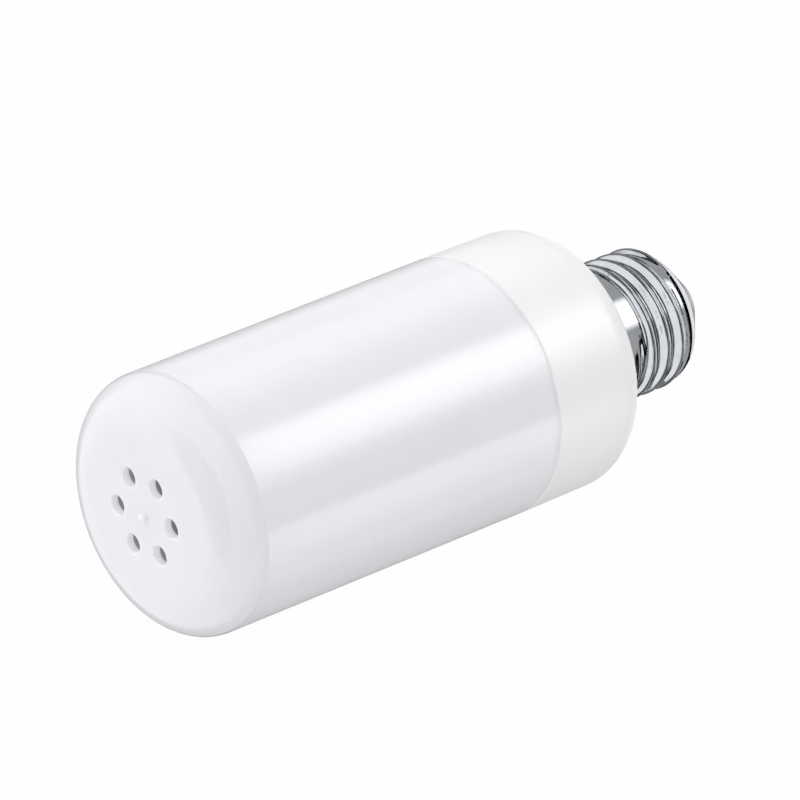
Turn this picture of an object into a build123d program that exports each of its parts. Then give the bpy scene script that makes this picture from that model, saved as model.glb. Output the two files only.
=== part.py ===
from build123d import *
from math import ceil, cos, floor, pi, sin, sqrt
import os

# A flame effect lamp: a milky cover over a drum of small lights, on a housing with a screw cap.
# Sizes are in millimetres. Z runs up the axis from the tip of the centre contact, and X passes
# through one of the vent holes in the cover's end.

# Screw cap, the standard 27 mm thread
CAP_HEIGHT = 30.4  # tip of the contact to the shoulder of the housing
COLLAR_HEIGHT = 1.0  # from the shoulder down to the rim of the shell
COLLAR_EDGE = 0.5  # how far the collar stands out round the rim
CREST_RADIUS = 13.125
THREAD_DEPTH = 1.095
PITCH = 3.629
THREAD_TURN = 0.1635  # how far before X a crest would meet the shoulder, in turns
THREAD_TOP = 7.6  # from the shoulder down to where the last crest has died
THREAD_FOOT = 21.9  # from the shoulder down to where the first crest begins
RUN_OUT = 0.75  # rise over which a crest swells or dies along the helix
SHELL_WALL = 0.3
SKIRT_INSET = 0.375  # from the crests in to the smooth skirt
LIP_DROP = 23.7  # from the shoulder down to the lower lip
LIP_INSET = 2.1  # from the crests in to the lower lip
NOSE_HEIGHT = 2.25  # height over which the lip opens out to the thread
NOSE_BEND = 1.5  # 1 gives a straight cone, more a nose that bends into the thread
CONTACT_RADIUS = 4.8
CONTACT_FLAT = 2.6
CONTACT_HEAD = 1.3
STEM_RADIUS = 1.5
STEM_WALL = 0.4
STEM_RISE = 0.6  # how far the stem stands up out of the insulator
INSULATOR_FOOT = 0.9  # how far the insulator stands out round the contact
INSULATOR_RISE = 3.2  # from the lip up to the top of the insulator
INSULATOR_FLANGE = 1.4

# Housing
BODY_RADIUS = 24.0
HOUSING_HEIGHT = 22.25  # shoulder to seam
HOUSING_WALL = 2.0
SHOULDER_ROUND = (6.8, 6.2)  # across and along the axis
NECK_WALL = 1.5
SEAM_EDGE = 0.25
BOSS_RADIUS = 2.8
BOSS_TOP = 4.25  # from the tops of the bosses up to the seam
WEB = 1.2
RAIL = 0.9
RAIL_LIFT = 0.5  # from the foot of the driver board up to the rails
NOTCH_WIDTH = 1.4
NOTCH_HEIGHT = 2.4
GROOVE_DROP = 11.0  # from the shoulder down to the top of the wire's groove

# Cover
COVER_HEIGHT = 73.35  # seam to vented end
COVER_TAPER = 0.67  # radius lost from the seam to the end
COVER_WALL = 1.6
COVER_ROUND = (8.9, 7.5)
SPIGOT_LENGTH = 4.5
SPIGOT_WALL = 1.2
SOCKET_WALL = 1.35  # housing wall left outside the spigot
STIFF_BAND = 2.5  # height of the thick ring above the seam
BEAD = 0.35
BEAD_HEIGHT = 1.0
BEAD_DROP = 2.6  # from the seam down to the snap bead
VENTS = 6
VENT_RADIUS = 1.75
VENT_RING = 7.04
VENT_EDGE = 0.2
GATE_RADIUS = 0.8
GATE_HEIGHT = 0.8

# Light drum
LIGHT_GAP = 5.6  # from the fronts of the lights out to the cover's bore at the seam
DRUM_HEIGHT = 61.0
DRUM_WALL = 1.8
SHEET = 0.3
SHEET_LIFT = 4.6  # from the foot of the drum up to the sheet
SHEET_MARGIN = 0.6  # from the sheet up to the top of the drum
SHEET_SEAM = 1.0
TAIL_WIDTH = 8.0
FLANGE = 2.0
FLANGE_WIDTH = 2.2
EAR_RADIUS = 2.7
CROWN = 1.8
CROWN_BORE = 8.0
END_BOSS_RADIUS = 2.2
END_BOSS_BITE = 0.4  # how far the bosses run into the drum's wall
END_BOSS_DEPTH = 7.0
COLUMNS = 12
ROWS = 8
END_LIGHTS = 3
END_LIGHT_RING = 5.4
LIGHT_WIDTH = 2.8
LIGHT_LENGTH = 3.5
LIGHT_DEPTH = 0.7
WINDOW_EDGE = 0.45
WINDOW_DEPTH = 0.08
LIGHT_CORNER = 0.5

# Boards and what they carry
BOARD = 1.0
BOARD_OFFSET = 3.5  # axis to the front of the driver board
BOARD_DROP = 15.5  # from the shoulder down to the foot of the driver board
BOARD_LIFT = 0.3  # from the housing floor up to the wings of the driver board
BOARD_EDGE = 1.5  # from the can and the choke out to the edges of the wings
CAVITY_GAP = 6.5  # from the choke's wing out to the housing's bore
HEADROOM = 1.1  # from the top of the wings up to the control board
CAN_RADIUS = 4.0
IN_CAN_HEIGHT = 12.0
CAN_HEADROOM = 2.1  # from the top of the output can up to the top of the wings
CAN_LIFT = 2.0  # from the foot of the board or the wings up to a can
CAN_GAP = 0.45  # from the pin strip out to the output can
CAN_LEADS = 3.5
CHOKE_RADIUS = 4.0
CHOKE_HEIGHT = 9.0
CHOKE_FLANGE = 1.2
CHOKE_POST = 2.2
CHOKE_WINDING = 3.6
RESISTOR_RADIUS = 1.4
RESISTOR_LENGTH = 7.0
RESISTOR_LIFT = 3.0  # from the foot of the board up to the fusible resistor
LEAD = 0.3
PIN_PITCH = 2.54
PINS = 4
PIN_SIDE = 0.6
STRIP = 1.9
STRIP_HEIGHT = 2.4
TRANSISTORS = 8
CHIP_RESISTORS = 12
CHIP_ARC = 85.0  # degrees from the first to the last chip between two screw ears
CONTROL_CHIP_OFFSET = 3.8

# Screws and wires
SHANK_RADIUS = 0.9
SHANK_LENGTH = 8.0
HEAD_RADIUS = 1.9
HEAD_HEIGHT = 1.4
END_SHANK_LENGTH = 5.5
SLOT = 0.5
LIVE_RADIUS = 0.65
NEUTRAL_RADIUS = 0.35
LEAD_WIRE_RADIUS = 0.5

# Clearances
TOUCH = 0.02  # parts soldered or pressed flat
GLUE = 0.05
SLIDE = 0.1
FIT = 0.2
SEAT = 0.25
LOOSE = 0.35

# Levels and radii that follow
shoulder_z = CAP_HEIGHT
seam_z = shoulder_z + HOUSING_HEIGHT
end_z = seam_z + COVER_HEIGHT
floor_z = shoulder_z + HOUSING_WALL
rim_z = shoulder_z - COLLAR_HEIGHT
skirt_z = shoulder_z - THREAD_TOP
lip_z = shoulder_z - LIP_DROP
insulator_top = lip_z + INSULATOR_RISE
stem_top = insulator_top + STEM_RISE
neck_foot = insulator_top + SEAT
board_foot = shoulder_z - BOARD_DROP
rail_z = board_foot + RAIL_LIFT
groove_top = shoulder_z - GROOVE_DROP
skirt_radius = CREST_RADIUS - SKIRT_INSET
lip_radius = CREST_RADIUS - LIP_INSET
root_radius = CREST_RADIUS - THREAD_DEPTH
mean_radius = CREST_RADIUS - THREAD_DEPTH / 2
knuckle_radius = (PITCH**2 / 4 + THREAD_DEPTH**2) / (4 * THREAD_DEPTH)
neck_radius = root_radius - SHELL_WALL - SEAT
neck_bore = neck_radius - NECK_WALL
cavity_radius = BODY_RADIUS - HOUSING_WALL
socket_radius = BODY_RADIUS - SOCKET_WALL
spigot_radius = socket_radius - FIT
spigot_bore = spigot_radius - SPIGOT_WALL
boss_top = seam_z - BOSS_TOP
boss_ring = spigot_bore - EAR_RADIUS - LOOSE
boss_angles = (30, 150, 270)
drum_z = boss_top + BOARD
drum_top = drum_z + DRUM_HEIGHT
light_front = BODY_RADIUS - COVER_WALL - LIGHT_GAP
sheet_outer = light_front - LIGHT_DEPTH - TOUCH
sheet_inner = sheet_outer - SHEET
drum_radius = sheet_inner - GLUE
drum_bore = drum_radius - DRUM_WALL
sheet_foot = drum_z + SHEET_LIFT
sheet_top = drum_top - SHEET_MARGIN
front_y = -BOARD_OFFSET
back_y = front_y - BOARD
neck_half = sqrt(neck_bore**2 - back_y**2) - LOOSE
wing_foot = floor_z + BOARD_LIFT
wing_top = boss_top - HEADROOM
strip_half = PINS * PIN_PITCH / 2
can_x = strip_half + CAN_GAP + CAN_RADIUS
can_wing = can_x + CAN_RADIUS + BOARD_EDGE
choke_wing = sqrt(cavity_radius**2 - back_y**2) - CAVITY_GAP
pin_y = front_y + STRIP / 2 + TOUCH
board_radius = spigot_bore - LOOSE
chip_ring = (drum_radius + FLANGE_WIDTH + board_radius) / 2
end_screw_ring = drum_bore + END_BOSS_BITE - END_BOSS_RADIUS
end_board_top = drum_top + BOARD


def turned(*edges):
    """Solid of revolution about the axis, from edges drawn as radius and height."""
    return revolve(Plane.XZ * make_face(edges), Axis.Z)


def turned_outline(*points):
    """Solid of revolution whose section is the polygon through the points."""
    return turned(*Polyline(*points, close=True).edges())


def tube(outer, inner, bottom, top):
    """Plain ring of the given radii between two heights."""
    return turned_outline((inner, bottom), (outer, bottom), (outer, top), (inner, top))


def rod(radius, bottom, top, x=0.0, y=0.0):
    """Upright round bar at x, y."""
    return Pos(x, y, (bottom + top) / 2) * Cylinder(radius, top - bottom)


def block(x0, x1, y0, y1, z0, z1):
    """Box between two corners."""
    middle = Pos((x0 + x1) / 2, (y0 + y1) / 2, (z0 + z1) / 2)
    return middle * Box(x1 - x0, y1 - y0, z1 - z0)


def polar(radius, angle, z=0.0):
    """Place at a radius and an angle about the axis, with its own X pointing outward."""
    return Rot(0, 0, angle) * Pos(radius, 0, z)


def bullet(edge_z, edge_radius, end, end_radius, rounding):
    """Solid with a slightly tapered side, an elliptical corner and a flat end at height end."""
    across, along = rounding
    way = 1 if end > edge_z else -1
    corner_z = end - way * along
    centre = (end_radius - across, corner_z)
    corner = EllipticalCenterArc(centre, across, along, 0 if way > 0 else -90, arc_size=90)
    return turned(
        Line((0, edge_z), (edge_radius, edge_z)),
        Line((edge_radius, edge_z), (end_radius, corner_z)),
        corner,
        Line((end_radius - across, end), (0, end)),
        Line((0, end), (0, edge_z)),
    )


def shrunk(rounding, wall):
    """The rounding of a wall's inner side."""
    return (rounding[0] - wall, rounding[1] - wall)


def bent(points, radius, bend):
    """Round wire along straight runs joined by tangent arcs."""
    path = FilletPolyline(*points, radius=bend)
    return sweep(Plane(path @ 0, z_dir=path % 0) * Circle(radius), path=path)


def knuckle(z):
    """Rolled thread's wave about its mean radius: equal arcs, tangent at half depth."""
    z = abs((z + PITCH / 2) % PITCH - PITCH / 2)
    if z < PITCH / 4:
        return THREAD_DEPTH / 2 - knuckle_radius + sqrt(knuckle_radius**2 - z * z)
    rest = PITCH / 2 - z
    return knuckle_radius - THREAD_DEPTH / 2 - sqrt(knuckle_radius**2 - rest * rest)


def ease(share):
    """Smooth step from 0 to 1."""
    share = min(1.0, max(0.0, share))
    return share * share * (3 - 2 * share)


def nose(z):
    """Share of its full width to which the nose has opened at height z."""
    share = min(1.0, max(0.0, (z - lip_z) / NOSE_HEIGHT))
    return 1 - (1 - share) ** NOSE_BEND


def thread_ends(extreme, turn):
    """Shares of thread and of lower start that a crest (even) or a root (odd) has at this turn."""
    level = PITCH * (turn + THREAD_TURN)
    crest_above = level + PITCH * ceil(extreme / 2)
    crest_below = level + PITCH * floor(extreme / 2)
    return ease((-THREAD_TOP - crest_above) / RUN_OUT), ease((THREAD_FOOT + crest_below) / RUN_OUT)


def shell_radius(z, turn):
    """Outside radius of the shell: smooth skirt above, thread that dies along its own helix, nose."""
    phase = 2 * ((z - shoulder_z) / PITCH - turn - THREAD_TURN)
    below = floor(phase)
    share = ease(phase - below)
    ends = zip(thread_ends(below, turn), thread_ends(below + 1, turn))
    threaded, started = [low + (high - low) * share for low, high in ends]
    wave = knuckle(z - shoulder_z - PITCH * (turn + THREAD_TURN))
    radius = mean_radius + (skirt_radius - mean_radius) * (1 - threaded) + threaded * started * wave
    return lip_radius + (radius - lip_radius) * nose(z)


def shell_section(turn):
    """Section of the rolled sheet in the half plane that lies the given part of a turn from X."""
    outward = Vector(cos(2 * pi * turn), sin(2 * pi * turn), 0)
    steps = ceil((rim_z - lip_z) / PITCH * 9.5)
    outside, inside = [], []
    for step in range(steps + 1):
        z = lip_z + (rim_z - lip_z) * step / steps
        radius = shell_radius(z, turn)
        outside.append(outward * radius + Vector(0, 0, z))
        inside.append(outward * (radius - SHELL_WALL) + Vector(0, 0, z))
    marks = [step / steps for step in range(steps + 1)]
    outer = Edge.make_spline(outside, parameters=marks)
    inner = Edge.make_spline(inside, parameters=marks)
    return Wire([outer, Edge.make_line(inner @ 1, outer @ 1), inner, Edge.make_line(outer @ 0, inner @ 0)])


def screw_shell():
    """Rolled sheet metal shell: its section lofted round the axis in two halves, a pitch a turn."""
    sections = 12
    halves = []
    for start in (0.0, 0.5):
        around = [shell_section(start + 0.5 * step / sections) for step in range(sections + 1)]
        halves.append(Solid.make_loft(around))
    return halves[0] + halves[1]


def nose_bore(z):
    """Smallest inside radius that the shell can have at or above height z."""
    return lip_radius + (root_radius - lip_radius) * nose(z) - SHELL_WALL


def cap_insulator():
    """Cone between shell and contact that holds the lip in a groove, with a hole for the stem."""
    bore = STEM_RADIUS + SLIDE
    waist = lip_radius - SHELL_WALL - SLIDE
    flange_z = insulator_top - INSULATOR_FLANGE
    flange = nose_bore(flange_z) - SEAT
    return turned_outline(
        (bore, CONTACT_HEAD),
        (CONTACT_RADIUS + INSULATOR_FOOT, CONTACT_HEAD),
        (lip_radius - SLIDE, lip_z - SLIDE),
        (waist, lip_z - SLIDE),
        (waist, flange_z),
        (flange, flange_z),
        (flange, insulator_top),
        (bore, insulator_top),
    )


def centre_contact():
    """Domed head with a flat tip on a hollow rivet stem."""
    rim = CONTACT_HEAD - 0.3
    across = CONTACT_RADIUS - CONTACT_FLAT
    bore = STEM_RADIUS - STEM_WALL
    return turned(
        Line((0, 0), (CONTACT_FLAT, 0)),
        EllipticalCenterArc((CONTACT_FLAT, rim), across, rim, -90, arc_size=90),
        Polyline(
            (CONTACT_RADIUS, rim),
            (CONTACT_RADIUS, CONTACT_HEAD),
            (STEM_RADIUS, CONTACT_HEAD),
            (STEM_RADIUS, stem_top),
            (bore, stem_top),
            (bore, rim),
            (0, rim),
            (0, 0),
        ),
    )


def seam_groove():
    """Ring that breaks both outer edges of the seam into a fine V."""
    return turned_outline(
        (BODY_RADIUS - SEAM_EDGE, seam_z),
        (BODY_RADIUS + SEAM_EDGE, seam_z - 2 * SEAM_EDGE),
        (BODY_RADIUS + SEAM_EDGE, seam_z + 2 * SEAM_EDGE),
    )


def snap_ring(base, reach, height):
    """Ring with sloping flanks round the spigot, at the height of the snap bead."""
    z = seam_z - BEAD_DROP
    return turned_outline(
        (base - SPIGOT_WALL / 2, z - height / 2),
        (base, z - height / 2),
        (reach, z - height / 4),
        (reach, z + height / 4),
        (base, z + height / 2),
        (base - SPIGOT_WALL / 2, z + height / 2),
    )


def base_housing():
    """Moulded bowl with a neck for the cap, a socket for the cover, screw bosses and board rails."""
    outside = bullet(seam_z, BODY_RADIUS, shoulder_z, BODY_RADIUS, SHOULDER_ROUND)
    step_z = skirt_z + FIT
    neck_top = skirt_radius - SHELL_WALL - SEAT
    neck = turned_outline(
        (0, neck_foot),
        (neck_radius, neck_foot),
        (neck_radius, step_z),
        (neck_top, step_z + neck_top - neck_radius),
        (neck_top, rim_z + TOUCH),
        (skirt_radius + COLLAR_EDGE, rim_z + TOUCH),
        (skirt_radius + COLLAR_EDGE, shoulder_z + HOUSING_WALL / 2),
        (0, shoulder_z + HOUSING_WALL / 2),
    )
    cavity = bullet(seam_z, cavity_radius, floor_z, cavity_radius, shrunk(SHOULDER_ROUND, HOUSING_WALL))
    body = outside + neck - cavity - rod(neck_bore, neck_foot - 1, floor_z + 1)
    socket_z = seam_z - SPIGOT_LENGTH - LOOSE
    web_top = socket_z - LOOSE
    web_foot = shoulder_z + HOUSING_WALL * 0.75
    for angle in boss_angles:
        post = polar(boss_ring, angle) * rod(BOSS_RADIUS, web_foot, boss_top)
        web = Rot(0, 0, angle) * block(boss_ring, BODY_RADIUS, -WEB / 2, WEB / 2, web_foot, web_top)
        body += post + (web & outside)
    for side in (-1, 1):
        for y in (front_y + SLIDE, back_y - SLIDE - RAIL):
            x0, x1 = sorted((side * (neck_half - RAIL), side * (neck_bore + NECK_WALL / 2)))
            rail = block(x0, x1, y, y + RAIL, rail_z, floor_z)
            body += rail & rod(neck_bore + NECK_WALL / 2, rail_z, floor_z)
    body -= rod(socket_radius, socket_z, seam_z + 1) - rod(spigot_bore - FIT, socket_z, seam_z + 1)
    body -= tube(socket_radius + BEAD + SLIDE, socket_radius - SLIDE, *bead_span(2 * FIT))
    body -= seam_groove()
    for angle in boss_angles:
        body -= polar(boss_ring, angle) * rod(SHANK_RADIUS + SLIDE, boss_top - SHANK_LENGTH, boss_top + 1)
    half = NOTCH_WIDTH / 2
    body -= block(-neck_radius - 1, -neck_bore + 1, -half, half, neck_foot - 1, neck_foot + NOTCH_HEIGHT)
    groove_x = -neck_radius + 2 * NEUTRAL_RADIUS + SLIDE
    body -= block(-neck_radius - 1, groove_x, -half, half, neck_foot - 1, groove_top)
    return body


def bead_span(extra):
    """Lower and upper height of the snap bead's groove."""
    z = seam_z - BEAD_DROP
    reach = (BEAD_HEIGHT + extra) / 2
    return (z - reach, z + reach)


def diffuser_cover():
    """Milky cup with a rounded vented end and a snap spigot at its mouth."""
    end_radius = BODY_RADIUS - COVER_TAPER
    outside = bullet(seam_z, BODY_RADIUS, end_z, end_radius, COVER_ROUND)
    bore_radius = BODY_RADIUS - COVER_WALL
    inner_end = end_z - COVER_WALL
    bore = bullet(seam_z, bore_radius, inner_end, end_radius - COVER_WALL, shrunk(COVER_ROUND, COVER_WALL))
    body = outside - bore - seam_groove()
    band_top = seam_z + STIFF_BAND
    lead_in = BODY_RADIUS - COVER_WALL / 2 - spigot_bore
    body += turned_outline(
        (spigot_bore, seam_z),
        (BODY_RADIUS - COVER_WALL / 2, seam_z),
        (BODY_RADIUS - COVER_WALL / 2, band_top + lead_in),
        (spigot_bore, band_top),
    )
    body += tube(spigot_radius, spigot_bore, seam_z - SPIGOT_LENGTH, seam_z + COVER_WALL / 2)
    body += snap_ring(spigot_radius, spigot_radius + BEAD, BEAD_HEIGHT)
    for vent in range(VENTS):
        place = polar(VENT_RING, 360 * vent / VENTS)
        body -= place * rod(VENT_RADIUS, inner_end - 1, end_z + 1)
        flare = Cone(VENT_RADIUS, VENT_RADIUS + 2 * VENT_EDGE, 2 * VENT_EDGE)
        body -= place * Pos(0, 0, end_z) * flare
    gate = rod(GATE_RADIUS, end_z - COVER_WALL / 2, end_z + GATE_HEIGHT)
    gate = fillet(gate.edges().sort_by(Axis.Z)[-1], GATE_HEIGHT / 2)
    return body + gate


def core_tube():
    """Support of the light sheet: drum with a foot flange, screw ears and a crown for the end board."""
    body = tube(drum_radius, drum_bore, drum_z, drum_top)
    body += tube(drum_radius + FLANGE_WIDTH, drum_bore, drum_z, drum_z + FLANGE)
    for angle in boss_angles:
        ear = polar(boss_ring, angle) * rod(EAR_RADIUS, drum_z, drum_z + FLANGE)
        neck = block(drum_bore + DRUM_WALL / 2, boss_ring, -EAR_RADIUS, EAR_RADIUS, drum_z, drum_z + FLANGE)
        body += ear + Rot(0, 0, angle) * neck
    body += tube(drum_bore + DRUM_WALL / 2, CROWN_BORE, drum_top - CROWN, drum_top)
    for side in (0, 180):
        post = polar(end_screw_ring, side) * rod(END_BOSS_RADIUS, drum_top - END_BOSS_DEPTH, drum_top)
        body += post & rod(drum_bore + DRUM_WALL / 2, drum_z, drum_top)
    rib = SHEET_SEAM / 2 - FIT
    depth = drum_radius + SHEET
    body += block(-rib, rib, -depth, -drum_bore - DRUM_WALL / 2, sheet_foot, sheet_top)
    for side in (0, 180):
        hole = rod(SHANK_RADIUS + SLIDE, drum_top - END_SHANK_LENGTH - 1, drum_top + 1)
        body -= polar(end_screw_ring, side) * hole
    for angle in boss_angles:
        body -= polar(boss_ring, angle) * rod(SHANK_RADIUS + FIT, drum_z - 1, drum_z + FLANGE + 1)
    half = TAIL_WIDTH / 2 + LOOSE
    slot = block(-half, half, 0, BODY_RADIUS, drum_z, drum_z + FLANGE)
    body -= slot - rod(drum_radius, drum_z, drum_z + FLANGE)
    return body


def led_sheet():
    """Flexible board wrapped round the drum, open at one seam, with a tail down to its pads."""
    wrap = tube(sheet_outer, sheet_inner, sheet_foot, sheet_top)
    half = SHEET_SEAM / 2
    wrap -= block(-half, half, -BODY_RADIUS, 0, sheet_foot, sheet_top)
    tail = tube(sheet_outer, sheet_inner, drum_z + TOUCH, sheet_foot + SHEET)
    tail &= block(-TAIL_WIDTH / 2, TAIL_WIDTH / 2, 0, BODY_RADIUS, drum_z, sheet_foot + SHEET)
    return wrap + tail


def light():
    """Flat surface mounted light on the plane of its board, with a shallow window and a cut corner."""
    body = Pos(0, 0, LIGHT_DEPTH / 2) * Box(LIGHT_WIDTH, LIGHT_LENGTH, LIGHT_DEPTH)
    corner = body.edges().filter_by(Axis.Z).sort_by(lambda edge: edge.center().X + edge.center().Y)[-1]
    body = chamfer(corner, LIGHT_CORNER)
    window = RectangleRounded(LIGHT_WIDTH - 2 * WINDOW_EDGE, LIGHT_LENGTH - 2 * WINDOW_EDGE, WINDOW_EDGE)
    return body - Pos(0, 0, LIGHT_DEPTH - WINDOW_DEPTH) * extrude(window, WINDOW_DEPTH)


def side_leds():
    """Grid of lights round the sheet, clear of the seam."""
    one = Rot(0, 90, 0) * Rot(0, 0, 90) * light()
    pitch = (sheet_top - sheet_foot) / ROWS
    lights = []
    for row in range(ROWS):
        z = sheet_foot + (row + 0.5) * pitch
        for column in range(COLUMNS):
            angle = (column + 0.5) * 360 / COLUMNS
            lights.append(polar(sheet_outer + TOUCH, angle, z) * one)
    return Compound(lights)


def end_board():
    """Round board on the drum's crown, with screw holes."""
    body = rod(drum_radius - FIT, drum_top, end_board_top)
    for side in (0, 180):
        body -= polar(end_screw_ring, side) * rod(SHANK_RADIUS + FIT, drum_top - 1, end_board_top + 1)
    return body


def end_leds():
    """Lights that face the vented end."""
    angles = [90 + 360 * step / END_LIGHTS for step in range(END_LIGHTS)]
    return Compound([polar(END_LIGHT_RING, angle, end_board_top + TOUCH) * light() for angle in angles])


def screw(length):
    """Pan head screw hanging down from the plane that its head sits on, with a cross recess."""
    head = fillet(rod(HEAD_RADIUS, 0, HEAD_HEIGHT).edges().sort_by(Axis.Z)[-1], HEAD_HEIGHT * 0.6)
    body = head + rod(SHANK_RADIUS, -length, 0)
    body = chamfer(body.edges().sort_by(Axis.Z)[0], SHANK_RADIUS * 0.6)
    half = HEAD_RADIUS * 0.55
    for angle in (0, 90):
        bar = block(-half, half, -SLOT / 2, SLOT / 2, HEAD_HEIGHT / 2, HEAD_HEIGHT + 1)
        body -= Rot(0, 0, angle) * bar
    return body


def core_screws():
    """Screws through the ears and the control board into the housing's bosses."""
    one = screw(SHANK_LENGTH)
    return Compound([polar(boss_ring, angle, drum_z + FLANGE) * one for angle in boss_angles])


def end_screws():
    """Screws through the end board into the crown."""
    one = screw(END_SHANK_LENGTH)
    return Compound([polar(end_screw_ring, side, end_board_top) * one for side in (0, 180)])


def control_board():
    """Round board held between the housing's bosses and the drum's flange."""
    body = rod(board_radius, boss_top, drum_z)
    for angle in boss_angles:
        body -= polar(boss_ring, angle) * rod(SHANK_RADIUS + FIT, boss_top - 1, drum_z + 1)
    for x in pin_places():
        body -= rod(PIN_SIDE / 2 + FIT, boss_top - 1, drum_z + 1, x, pin_y)
    return body


def pin_places():
    """X of each supply pin."""
    return [(pin - (PINS - 1) / 2) * PIN_PITCH for pin in range(PINS)]


def supply_pins():
    """Bent square pins from the driver board up through the control board."""
    half = PIN_SIDE / 2
    foot = wing_top - 3 * PIN_SIDE - STRIP_HEIGHT
    pins = []
    for x in pin_places():
        upright = block(x - half, x + half, pin_y - half, pin_y + half, foot, drum_z + 2 * PIN_SIDE)
        toe = block(x - half, x + half, front_y + TOUCH, pin_y, foot, foot + PIN_SIDE)
        pins.append(upright + toe)
    return Compound(pins)


def pin_strip():
    """Plastic strip that holds the supply pins."""
    top = wing_top - PIN_SIDE
    y0, y1 = front_y + TOUCH, front_y + TOUCH + STRIP
    body = block(-strip_half, strip_half, y0, y1, top - STRIP_HEIGHT, top)
    body = chamfer(body.edges().filter_by(Axis.Z), STRIP / 6)
    hole = PIN_SIDE / 2 + TOUCH
    for x in pin_places():
        body -= block(x - hole, x + hole, pin_y - hole, pin_y + hole, top - STRIP_HEIGHT - 1, top + 1)
    return body


def driver_board():
    """T shaped board: a tongue in the neck's rails and wings that keep clear of the housing."""
    tongue = block(-neck_half, neck_half, back_y, front_y, board_foot, wing_foot + BOARD)
    wings = block(-choke_wing, can_wing, back_y, front_y, wing_foot, wing_top)
    radius = cavity_radius - LOOSE
    room = bullet(seam_z, radius, floor_z, radius, shrunk(SHOULDER_ROUND, HOUSING_WALL + LOOSE))
    return tongue + (wings & room)


def packaged(length, width, height, leads, pitch, lead_width, reach=1.0):
    """Moulded package with gull wing leads out to the reach on both long sides, standing on z = 0."""
    stand = 0.1
    body = Pos(0, 0, stand + height / 2) * Box(length, width, height)
    body = chamfer(body.faces().sort_by(Axis.Z)[-1].edges(), height * 0.15)
    foil = 0.2
    for side in (-1, 1):
        for lead in range(leads):
            x = (lead - (leads - 1) / 2) * pitch
            y0, y1 = sorted((side * (width / 2 - foil), side * (width / 2 + 2 * foil)))
            body += block(x - lead_width / 2, x + lead_width / 2, y0, y1, height / 2, height / 2 + foil)
            y0, y1 = sorted((side * (width / 2 + foil), side * (width / 2 + 2 * foil)))
            body += block(x - lead_width / 2, x + lead_width / 2, y0, y1, 0, height / 2 + foil)
            y0, y1 = sorted((side * (width / 2 + foil), side * (width / 2 + reach)))
            body += block(x - lead_width / 2, x + lead_width / 2, y0, y1, 0, foil)
    return body


def on_back(part, x, z):
    """Stands a part on the back of the driver board."""
    return Pos(x, back_y - TOUCH, z) * Rot(90, 0, 0) * part


def on_control(part, radius, angle):
    """Stands a part on the control board inside the drum."""
    return polar(radius, angle, drum_z + TOUCH) * part


def bridge_rectifier():
    """Four lead rectifier on the back of the tongue."""
    part = packaged(4.7, 3.9, 1.5, 2, 2.54, 0.6)
    return on_back(part, 0, (board_foot + shoulder_z) / 2)


def driver_chip():
    """Eight lead driver on the back of the wings."""
    return on_back(packaged(4.9, 3.9, 1.5, 4, 1.27, 0.42), 0, (wing_foot + wing_top) / 2)


def buck_diode():
    """Two lead diode beside the driver chip."""
    return on_back(packaged(2.6, 4.3, 2.1, 1, 1.0, 1.5), can_wing * 0.55, (wing_foot + wing_top) / 2)


def control_chip():
    """Sixteen lead controller on the control board, inside the drum."""
    part = Rot(0, 0, 90) * packaged(9.9, 3.9, 1.5, 8, 1.27, 0.42)
    return on_control(part, CONTROL_CHIP_OFFSET, 90)


def between_ears(part, middle, count):
    """Row of chips outside the drum's flange, centred between two screw ears."""
    angles = [middle + CHIP_ARC * (step / (count - 1) - 0.5) for step in range(count)]
    return Compound([on_control(part, chip_ring, angle) for angle in angles])


def row_transistors():
    """Small transistors, one for each row of lights."""
    one = Rot(0, 0, 90) * packaged(2.9, 1.3, 0.95, 2, 1.9, 0.4, 0.55)
    return between_ears(one, 210, TRANSISTORS)


def row_resistors():
    """Chip resistors, one for each column of lights."""
    one = Pos(0, 0, 0.25) * Box(2.0, 1.25, 0.5)
    one = chamfer(one.edges().filter_by(Axis.Y), 0.08)
    return between_ears(one, 330, CHIP_RESISTORS)


def capacitor(height):
    """Standing can with a rolled groove, a rounded crown and a seal at its foot."""
    groove, roll = CAN_RADIUS * 0.06, CAN_RADIUS * 0.3
    can = rod(CAN_RADIUS, 0, height)
    can = fillet(can.edges().sort_by(Axis.Z)[-1], CAN_RADIUS * 0.18)
    can = chamfer(can.edges().sort_by(Axis.Z)[0], CAN_RADIUS * 0.1)
    return can - tube(CAN_RADIUS + 1, CAN_RADIUS - groove, roll, roll + CAN_RADIUS * 0.25)


def lying_can(x, foot, top):
    """Can laid along the driver board with its foot down and its leads bent back to the board."""
    y = front_y + CAN_RADIUS + FIT
    body = Pos(x, y, foot) * capacitor(top - foot)
    drop = 4 * LEAD
    for side in (-1, 1):
        lead_x = x + side * CAN_LEADS / 2
        body += bent(
            [(lead_x, y, foot + LEAD), (lead_x, y, foot - drop), (lead_x, front_y + TOUCH, foot - drop)],
            LEAD,
            2 * LEAD,
        )
    return body


def input_capacitor():
    """High voltage can in the neck."""
    foot = board_foot + CAN_LIFT
    return lying_can(0, foot, foot + IN_CAN_HEIGHT)


def output_capacitor():
    """Low voltage can on the wings."""
    return lying_can(can_x, wing_foot + CAN_LIFT, wing_top - CAN_HEADROOM)


def choke_core():
    """Ferrite drum standing on the wings."""
    core = rod(CHOKE_POST, 0, CHOKE_HEIGHT) + rod(CHOKE_RADIUS, 0, CHOKE_FLANGE)
    core += rod(CHOKE_RADIUS, CHOKE_HEIGHT - CHOKE_FLANGE, CHOKE_HEIGHT)
    return choke_place() * core


def choke_winding():
    """Copper winding between the drum's flanges."""
    foot, top = CHOKE_FLANGE + TOUCH, CHOKE_HEIGHT - CHOKE_FLANGE - TOUCH
    return choke_place() * tube(CHOKE_WINDING, CHOKE_POST + TOUCH, foot, top)


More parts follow.
